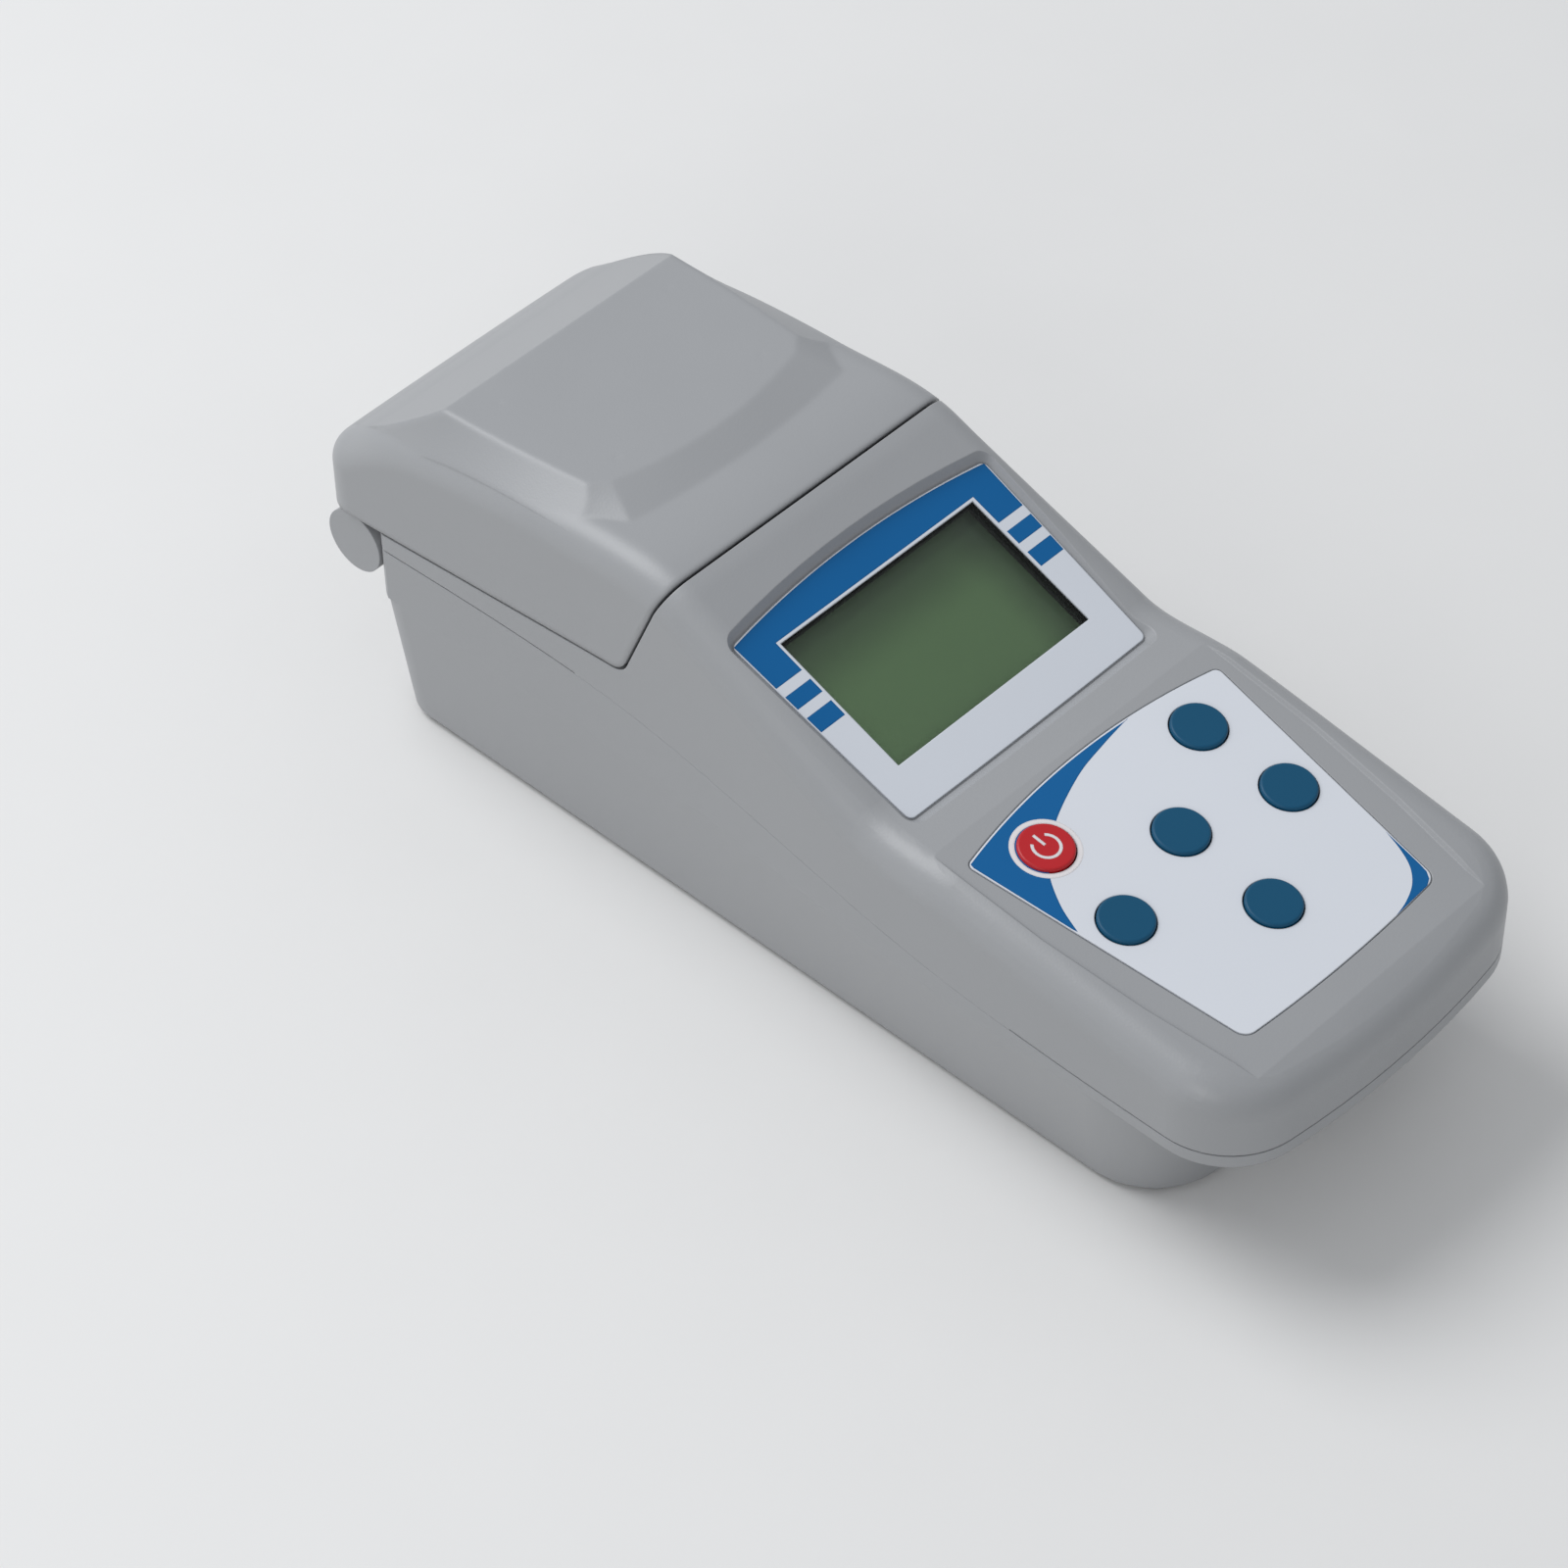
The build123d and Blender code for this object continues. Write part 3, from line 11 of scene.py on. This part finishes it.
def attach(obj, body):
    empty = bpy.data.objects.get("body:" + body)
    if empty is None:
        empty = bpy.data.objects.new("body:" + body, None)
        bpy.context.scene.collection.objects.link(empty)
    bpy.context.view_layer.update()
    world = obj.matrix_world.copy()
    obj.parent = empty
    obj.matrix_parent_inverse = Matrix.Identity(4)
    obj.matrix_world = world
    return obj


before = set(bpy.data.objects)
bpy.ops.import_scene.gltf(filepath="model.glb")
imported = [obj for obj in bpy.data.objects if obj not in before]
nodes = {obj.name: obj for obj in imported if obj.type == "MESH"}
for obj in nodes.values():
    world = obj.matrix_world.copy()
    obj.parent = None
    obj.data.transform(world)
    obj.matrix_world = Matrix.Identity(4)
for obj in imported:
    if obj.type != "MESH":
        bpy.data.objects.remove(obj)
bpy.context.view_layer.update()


# Housing halves, lid and battery door: injection-moulded grey ABS with a fine spark-eroded
# texture, satin where hands polish it, with a painted highlight that makes the rounded outer edges
# slightly paler. The lid's raised face has softer creases than the housing.
def moulded(name, colour, roughness, grain, relief, edge_highlight=0.10, edge_radius=0.0004, mottle=0.035,
            metallic=0.0, coat=0.0, specular=0.5):
    """Material of a moulded or machined piece: grain in metres, relief in metres, softened edges with a
    painted highlight along them.
    """
    material = bpy.data.materials.new(name)
    material.use_nodes = True
    tree = material.node_tree
    shader = tree.nodes["Principled BSDF"]
    shader.inputs["Metallic"].default_value = metallic
    shader.inputs["Coat Weight"].default_value = coat
    shader.inputs["Specular IOR Level"].default_value = specular
    place = tree.nodes.new("ShaderNodeTexCoord")
    fine = tree.nodes.new("ShaderNodeTexNoise")
    fine.inputs["Scale"].default_value = 1 / grain
    fine.inputs["Detail"].default_value = 3
    broad = tree.nodes.new("ShaderNodeTexNoise")
    broad.inputs["Scale"].default_value = 28
    broad.inputs["Detail"].default_value = 5
    tree.links.new(place.outputs["Object"], fine.inputs["Vector"])
    tree.links.new(place.outputs["Object"], broad.inputs["Vector"])
    # softened edges feed the relief, and where their normal parts from the flat faces' normal the colour
    # turns paler: a painted highlight along the edges
    rounded = tree.nodes.new("ShaderNodeBevel")
    rounded.samples = 8
    rounded.inputs["Radius"].default_value = edge_radius
    bump = tree.nodes.new("ShaderNodeBump")
    bump.inputs["Strength"].default_value = 1.0
    bump.inputs["Distance"].default_value = relief
    tree.links.new(fine.outputs["Fac"], bump.inputs["Height"])
    tree.links.new(rounded.outputs["Normal"], bump.inputs["Normal"])
    tree.links.new(bump.outputs["Normal"], shader.inputs["Normal"])
    flat = tree.nodes.new("ShaderNodeNewGeometry")
    same = tree.nodes.new("ShaderNodeVectorMath")
    same.operation = "DOT_PRODUCT"
    tree.links.new(rounded.outputs["Normal"], same.inputs[0])
    tree.links.new(flat.outputs["Normal"], same.inputs[1])
    # painted highlight: mask of the rounded edges, where the colour is lightened
    edge_highlight_mask = tree.nodes.new("ShaderNodeMapRange")
    edge_highlight_mask.inputs["From Min"].default_value = 0.995
    edge_highlight_mask.inputs["From Max"].default_value = 0.9
    edge_highlight_mask.inputs["To Min"].default_value = 0.0
    edge_highlight_mask.inputs["To Max"].default_value = edge_highlight
    tree.links.new(same.outputs["Value"], edge_highlight_mask.inputs["Value"])
    tint = tree.nodes.new("ShaderNodeMix")
    tint.data_type = "RGBA"
    tint.inputs["A"].default_value = [c * (1 - mottle) for c in colour] + [1]
    tint.inputs["B"].default_value = [min(1, c * (1 + mottle)) for c in colour] + [1]
    tree.links.new(broad.outputs["Fac"], tint.inputs["Factor"])
    # painted highlight: the colour is mixed towards a paler one along the edges
    edge_highlight_mix = tree.nodes.new("ShaderNodeMix")
    edge_highlight_mix.data_type = "RGBA"
    edge_highlight_mix.inputs["B"].default_value = [min(1, c * 1.6 + 0.05) for c in colour] + [1]
    tree.links.new(edge_highlight_mask.outputs["Result"], edge_highlight_mix.inputs["Factor"])
    tree.links.new(tint.outputs["Result"], edge_highlight_mix.inputs["A"])
    tree.links.new(edge_highlight_mix.outputs["Result"], shader.inputs["Base Color"])
    gloss = tree.nodes.new("ShaderNodeMapRange")
    gloss.inputs["To Min"].default_value = roughness - 0.05
    gloss.inputs["To Max"].default_value = roughness + 0.07
    tree.links.new(broad.outputs["Fac"], gloss.inputs["Value"])
    tree.links.new(gloss.outputs["Result"], shader.inputs["Roughness"])
    return material


def dress(material, *names):
    """Gives these CAD nodes the material."""
    for name in names:
        node = nodes[name]
        node.data.materials.clear()
        node.data.materials.append(material)


housing_grey = moulded("housing_grey", (0.338, 0.345, 0.356), 0.38, 0.00045, 0.00003)
lid_grey = moulded("lid_grey", (0.338, 0.345, 0.356), 0.38, 0.00045, 0.00003, edge_highlight=0.05,
                   edge_radius=0.0020)
dress(housing_grey, "upper_housing", "lower_housing", "battery_door")
dress(lid_grey, "lid_shell")


# Ink layers: screen-printed shapes on the two labels, thin flat pieces in the labels' own planes.
# x runs across and s down the slope from the panel's reference line, both in millimetres.
PRINT_HALF_THICK = 0.008   # half the thickness of a printed layer


def on_panel(origin, tilt, x, s, lift):
    """Point of the row frame for panel coordinates in millimetres, lifted off the panel's face."""
    t = math.radians(tilt)
    y = origin[1] - s * math.cos(t) - lift * math.sin(t)
    z = origin[2] - s * math.sin(t) + lift * math.cos(t)
    return (x / 1000, y / 1000, z / 1000)


def ink(name, panel, loops, lift, material, body):
    """Thin printed piece from closed loops of panel points; later loops are holes in the first."""
    curve = bpy.data.curves.new(name, "CURVE")
    curve.dimensions = "2D"
    curve.fill_mode = "BOTH"
    curve.extrude = PRINT_HALF_THICK
    for loop in loops:
        spline = curve.splines.new("POLY")
        spline.points.add(len(loop) - 1)
        for point, (x, s) in zip(spline.points, loop):
            point.co = (x, -s, 0, 1)
        spline.use_cyclic_u = True
    flat = bpy.data.objects.new(name + "_flat", curve)
    bpy.context.scene.collection.objects.link(flat)
    bpy.context.view_layer.update()
    mesh = bpy.data.meshes.new_from_object(flat.evaluated_get(bpy.context.evaluated_depsgraph_get()))
    bpy.data.objects.remove(flat)
    origin, tilt = panel
    for vertex in mesh.vertices:
        x, y, z = vertex.co
        vertex.co = on_panel(origin, tilt, x, -y, z + lift)
    mesh.name = name
    mesh.materials.clear()
    mesh.materials.append(material)
    piece = bpy.data.objects.new(name, mesh)
    bpy.context.scene.collection.objects.link(piece)
    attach(piece, body)


def arc_through(a, b, c, count=24):
    """Points of the circular arc from a over b to c."""
    ax, ay = a
    bx, by = b
    cx, cy = c
    d = 2 * (ax * (by - cy) + bx * (cy - ay) + cx * (ay - by))
    aa, bb, cc = ax * ax + ay * ay, bx * bx + by * by, cx * cx + cy * cy
    ux = (aa * (by - cy) + bb * (cy - ay) + cc * (ay - by)) / d
    uy = (aa * (cx - bx) + bb * (ax - cx) + cc * (bx - ax)) / d
    r = math.hypot(ax - ux, ay - uy)
    start = math.atan2(ay - uy, ax - ux)
    mid = math.atan2(by - uy, bx - ux)
    end = math.atan2(cy - uy, cx - ux)
    turn = (end - start) % (2 * math.pi)
    if (mid - start) % (2 * math.pi) > turn:
        turn -= 2 * math.pi
    return [(ux + r * math.cos(start + turn * i / count), uy + r * math.sin(start + turn * i / count))
            for i in range(count + 1)]


def smooth_through(points, steps=8):
    """Points of a smooth line through the listed ones."""
    line = []
    ends = [points[0]] + list(points) + [points[-1]]
    for p0, p1, p2, p3 in zip(ends, ends[1:], ends[2:], ends[3:]):
        for i in range(steps):
            t = i / steps
            line.append(tuple(0.5 * (2 * b + (c - a) * t + (2 * a - 5 * b + 4 * c - d) * t * t
                                     + (3 * b - a - 3 * c + d) * t ** 3)
                              for a, b, c, d in zip(p0, p1, p2, p3)))
    return line + [points[-1]]


def circle(x, s, radius, count=64):
    """Points of a circle about x, s."""
    return [(x + radius * math.cos(2 * math.pi * i / count), s + radius * math.sin(2 * math.pi * i / count))
            for i in range(count)]


# Display label: polyester film, reverse printed in blue with two white bars on each side and a
# white front; the window is left open and edged with a fine white line.
DISPLAY = ((0, 6.5, 77.0), 21.45)   # middle of the window's rear edge, and the panel's fall in degrees
DISPLAY_LIFT = 0.012                # printed layer over the film
PRINT_HALF = 36.45                  # half width of the print at the label's rear corners
PRINT_NARROWING = 1.9               # loss of half width over the label's depth
PRINT_DEPTH = 48.8
REAR_CORNER_S = -5.2                # the label's rear corners lie behind the window's edge
WINDOW_EDGE = 28.75                 # half width of the white line round the window
WINDOW_REAR = -0.65                 # its rear edge
HOOD_FRONT = 6.8                    # front ends of the blue hood beside the window
BARS = ((9.2, 12.7), (15.1, 19.1))  # rear and front edges of the blue bars
film_white = moulded("film_white", (0.66, 0.69, 0.745), 0.34, 0.0006, 0.000008, edge_highlight=0.0,
                     mottle=0.015, coat=0.15)
ink_blue = moulded("ink_blue", (0.0006, 0.112, 0.322), 0.42, 0.0006, 0.000008, edge_highlight=0.0, mottle=0.05,
                   specular=0.25)
dress(film_white, "display_label")


def display_side(s):
    """Half width of the printed area beside the window."""
    return PRINT_HALF - PRINT_NARROWING * (s - REAR_CORNER_S) / PRINT_DEPTH


arch = arc_through((-36.4, -4.9), (0, -7.95), (36.4, -4.9))
hood = arch + [(display_side(HOOD_FRONT), HOOD_FRONT), (WINDOW_EDGE, HOOD_FRONT),
               (WINDOW_EDGE, WINDOW_REAR), (-WINDOW_EDGE, WINDOW_REAR),
               (-WINDOW_EDGE, HOOD_FRONT), (-display_side(HOOD_FRONT), HOOD_FRONT)]
ink("display_print_hood", DISPLAY, [hood], DISPLAY_LIFT, ink_blue, "housing")
for number, (top, bottom) in enumerate(BARS):
    for side, word in ((-1, "left"), (1, "right")):
        bar = [(side * WINDOW_EDGE, top), (side * display_side(top), top),
               (side * display_side(bottom), bottom), (side * WINDOW_EDGE, bottom)]
        ink("display_print_bar_%s_%d" % (word, number), DISPLAY, [bar], DISPLAY_LIFT, ink_blue,
            "housing")


# Window pane and liquid-crystal display: a clear acrylic pane over a reflective olive-green
# panel; the panel darkens under the window's rear and right edges.
pane_clear = bpy.data.materials.new("pane_clear")
pane_clear.use_nodes = True
tree = pane_clear.node_tree
tree.nodes.clear()
out = tree.nodes.new("ShaderNodeOutputMaterial")
see = tree.nodes.new("ShaderNodeBsdfTransparent")
see.inputs["Color"].default_value = (0.93, 0.96, 0.93, 1)
shine = tree.nodes.new("ShaderNodeBsdfGlossy")
grazing = tree.nodes.new("ShaderNodeFresnel")
grazing.inputs["IOR"].default_value = 1.3
smudge = tree.nodes.new("ShaderNodeTexNoise")
smudge.inputs["Scale"].default_value = 60
smudge_range = tree.nodes.new("ShaderNodeMapRange")
smudge_range.inputs["To Min"].default_value = 0.05
smudge_range.inputs["To Max"].default_value = 0.16
mix = tree.nodes.new("ShaderNodeMixShader")
tree.links.new(smudge.outputs["Fac"], smudge_range.inputs["Value"])
tree.links.new(smudge_range.outputs["Result"], shine.inputs["Roughness"])
tree.links.new(grazing.outputs["Fac"], mix.inputs["Fac"])
tree.links.new(see.outputs["BSDF"], mix.inputs[1])
tree.links.new(shine.outputs["BSDF"], mix.inputs[2])
tree.links.new(mix.outputs["Shader"], out.inputs["Surface"])
dress(pane_clear, "window_pane")

lcd_green = moulded("lcd_green", (0.225, 0.345, 0.180), 0.35, 0.0004, 0.000006, edge_highlight=0.0, mottle=0.06)
# the frame's soft shadow: the panel darkens between these distances in metres
tree = lcd_green.node_tree
place = tree.nodes.new("ShaderNodeTexCoord")
split = tree.nodes.new("ShaderNodeSeparateXYZ")
tree.links.new(place.outputs["Object"], split.inputs["Vector"])
shade = tree.nodes["Principled BSDF"].inputs["Base Color"].links[0].from_socket
for axis, clear, dark in (("X", 0.016, 0.0285), ("Y", -0.008, 0.006)):
    fall = tree.nodes.new("ShaderNodeMapRange")
    fall.interpolation_type = "SMOOTHSTEP"
    fall.inputs["From Min"].default_value = clear
    fall.inputs["From Max"].default_value = dark
    fall.inputs["To Max"].default_value = 0.62
    darker = tree.nodes.new("ShaderNodeMix")
    darker.data_type = "RGBA"
    darker.inputs["B"].default_value = (0.030, 0.042, 0.036, 1)
    tree.links.new(split.outputs[axis], fall.inputs["Value"])
    tree.links.new(fall.outputs["Result"], darker.inputs["Factor"])
    tree.links.new(shade, darker.inputs["A"])
    shade = darker.outputs["Result"]
tree.links.new(shade, tree.nodes["Principled BSDF"].inputs["Base Color"])
dress(lcd_green, "lcd_panel")
gasket_black = moulded("gasket_black", (0.012, 0.013, 0.013), 0.8, 0.0003, 0.00005, edge_highlight=0.0)
dress(gasket_black, "display_gasket", "well_gasket")


# Keypad label: the same film in white, with blue printed over the rear left corner and over a
# small front right corner, both bounded by the arcs of one large pale field.
KEYPAD = ((0, -50.7, 61.7), 8.05)   # middle of the label's rear corners, and the panel's fall
KEYPAD_LIFT = 0.112                 # printed layer over the film
RING_LIFT = 0.122                   # white ring over the blue print
film_keypad = moulded("film_keypad", (0.70, 0.725, 0.775), 0.34, 0.0006, 0.000008, edge_highlight=0.0,
                      mottle=0.015, coat=0.15)
dress(film_keypad, "keypad_label")
field_left = smooth_through([(14.0, -3.55), (5.0, -2.3), (-4.4, -0.4), (-16.5, 4.4), (-25.5, 10.6),
                             (-30.6, 18.0), (-33.2, 25.0)])
rear_edge = arc_through((-36.3, 0.2), (0, -3.95), (36.3, 0.2), 60)
rear_part = [p for p in rear_edge if p[0] < 13.5]
corner_left = rear_part + field_left + [(-33.45, 24.0)]
ink("keypad_print_rear", KEYPAD, [[(-36.5, 1.2)] + corner_left], KEYPAD_LIFT, ink_blue, "housing")
field_right = smooth_through([(29.9, 49.3), (28.6, 54.0), (26.6, 58.2), (23.5, 61.2), (19.5, 63.0),
                              (15.5, 63.9)])
corner_right = field_right + [(25.6, 63.35), (27.2, 62.5), (28.2, 61.0), (28.6, 59.0)]
ink("keypad_print_front", KEYPAD, [corner_right], KEYPAD_LIFT, ink_blue, "housing")


# Keys: silicone-topped round keys in petrol blue, the power key in red inside a white printed
# ring, with the usual power symbol printed in white on its cap.
key_blue = moulded("key_blue", (0.001, 0.075, 0.158), 0.42, 0.0005, 0.00001, edge_highlight=0.12,
                   edge_radius=0.0003, specular=0.3)
key_red = moulded("key_red", (0.50, 0.004, 0.010), 0.40, 0.0005, 0.00001, edge_highlight=0.1,
                  edge_radius=0.0003)
ink_white = moulded("ink_white", (0.78, 0.76, 0.77), 0.4, 0.0006, 0.000008, edge_highlight=0.0, mottle=0.01)
dress(key_blue, "key_rear_right", "key_centre", "key_left", "key_right", "key_front")
dress(key_red, "power_key")
POWER_AT = (-22.6, 7.4)
RING_OUTER = 7.25
RING_INNER = 6.12
ring = [circle(*POWER_AT, RING_OUTER), circle(*POWER_AT, RING_INNER)]
ink("power_ring", KEYPAD, ring, RING_LIFT, ink_white, "housing")
CAP_LIFT = 0.912                    # top of the power key's cap over the panel
SYMBOL_OUTER = 3.15
SYMBOL_INNER = 2.5
STROKE_HALF = 0.33
STROKE_REAR = 3.5                   # the symbol's bar, measured back from the key's middle
STROKE_FRONT = 0.4
reach = [math.radians(a) for a in range(-50, 231, 8)]
outer = [(POWER_AT[0] + SYMBOL_OUTER * math.cos(a), POWER_AT[1] + SYMBOL_OUTER * math.sin(a))
         for a in reach]
inner = [(POWER_AT[0] + SYMBOL_INNER * math.cos(a), POWER_AT[1] + SYMBOL_INNER * math.sin(a))
         for a in reversed(reach)]
ink("power_symbol_ring", KEYPAD, [outer + inner], CAP_LIFT, ink_white, "power_key")
bar = [(POWER_AT[0] + side * STROKE_HALF, POWER_AT[1] - back)
       for side, back in ((-1, STROKE_REAR), (1, STROKE_REAR), (1, STROKE_FRONT), (-1, STROKE_FRONT))]
ink("power_symbol_bar", KEYPAD, [bar], CAP_LIFT, ink_white, "power_key")


# Sample well, liner, optical block and holders: black polypropylene and anodised parts, matte
# to swallow stray light.
black_matte = moulded("black_matte", (0.014, 0.014, 0.015), 0.62, 0.0005, 0.00004, edge_highlight=0.1)
dress(black_matte, "lid_liner", "sample_well", "optical_block", "lamp_holder", "key_switches",
      "board_chips", "photodiodes")
inlet_black = moulded("inlet_black", (0.016, 0.016, 0.017), 0.4, 0.0005, 0.00002)
dress(inlet_black, "power_inlet")
rubber_black = moulded("rubber_black", (0.022, 0.022, 0.022), 0.85, 0.0006, 0.00006, edge_highlight=0.05)
dress(rubber_black, "rubber_feet")

# Screws, hinge pin and display frame are turned, rolled or stamped from plated steel; the cells'
# contacts and springs are nickel-plated strip and wire.
steel = moulded("steel", (0.56, 0.56, 0.57), 0.28, 0.0002, 0.000006, metallic=1.0, edge_highlight=0.2)
dress(steel, "liner_screws", "board_screws", "optics_screws", "housing_screws", "hinge_pin", "lcd_frame")
nickel = moulded("nickel", (0.62, 0.59, 0.53), 0.25, 0.0003, 0.000008, metallic=1.0)
dress(nickel, "contact_plates", "contact_springs")

# Inside the housing: circuit boards under green solder mask, the display's moulded diffuser,
# glass lens and lamp, and cells in a dark printed sleeve.
board_green = moulded("board_green", (0.012, 0.10, 0.042), 0.38, 0.0012, 0.00001, mottle=0.15)
dress(board_green, "display_board", "main_board", "detector_boards", "power_board")
diffuser = moulded("diffuser", (0.72, 0.72, 0.68), 0.5, 0.0008, 0.00001, edge_highlight=0.0)
dress(diffuser, "lcd_backlight")
lens_clear = moulded("lens_clear", (0.80, 0.86, 0.88), 0.06, 0.002, 0.000002, edge_highlight=0.0)
dress(lens_clear, "beam_lens", "lamp")
cell_sleeve = moulded("cell_sleeve", (0.03, 0.045, 0.06), 0.3, 0.002, 0.000005, mottle=0.3)
dress(cell_sleeve, "battery_cells")


# Floor: a matt white table top that runs out of the picture, slightly warm and unevenly
# mottled, on which the meter stands on its feet.
bpy.ops.mesh.primitive_plane_add(size=6, location=(0, 0, 0))
floor = bpy.context.object
floor.name = "floor"
floor.data.materials.append(moulded("table_white", (0.80, 0.794, 0.784), 0.6, 0.004, 0.00001,
                                    edge_highlight=0.0, mottle=0.012))

# Light: an overcast room, one broad soft source above the rear left, and a weak one low on the
# left that keeps the side wall from going dark.
world = bpy.data.worlds.new("room")
bpy.context.scene.world = world
world.use_nodes = True
world.node_tree.nodes["Background"].inputs["Color"].default_value = (0.93, 0.96, 1.0, 1)
world.node_tree.nodes["Background"].inputs["Strength"].default_value = 0.49


def area_light(name, place, aim, size, power, colour):
    """Round soft source at a place, turned to its aim."""
    lamp = bpy.data.lights.new(name, "AREA")
    lamp.shape = "DISK"
    lamp.size = size
    lamp.energy = power
    lamp.color = colour
    holder = bpy.data.objects.new(name, lamp)
    bpy.context.scene.collection.objects.link(holder)
    holder.location = place
    holder.rotation_euler = (Vector(aim) - Vector(place)).to_track_quat("-Z", "Y").to_euler()


area_light("window_light", (-0.36, 1.0, 1.5), (0, 0, 0), 1.3, 20, (0.975, 0.985, 1.0))
area_light("left_light", (-1.2, -0.5, 0.8), (0, 0, 0), 0.6, 2.6, (1.0, 0.995, 0.98))

# Camera: stands in front of the left side and looks down on the meter, as the photograph does.
# Its axes and place are in the row's frame, in metres.
camera_data = bpy.data.cameras.new("camera")
camera = bpy.data.objects.new("camera", camera_data)
bpy.context.scene.collection.objects.link(camera)
camera_data.lens = 127.7
camera_data.sensor_width = 36
right = (0.68493, -0.72857, -0.00747)
up = (0.52057, 0.48217, 0.70464)
back = (-0.50978, -0.48652, 0.70953)
stand = (-0.59368, -0.53387, 0.82585)
rows = [[right[i], up[i], back[i], stand[i]] for i in range(3)]
camera.matrix_world = Matrix(rows + [[0, 0, 0, 1]])
bpy.context.scene.camera = camera
bpy.context.scene.view_settings.view_transform = "Standard"
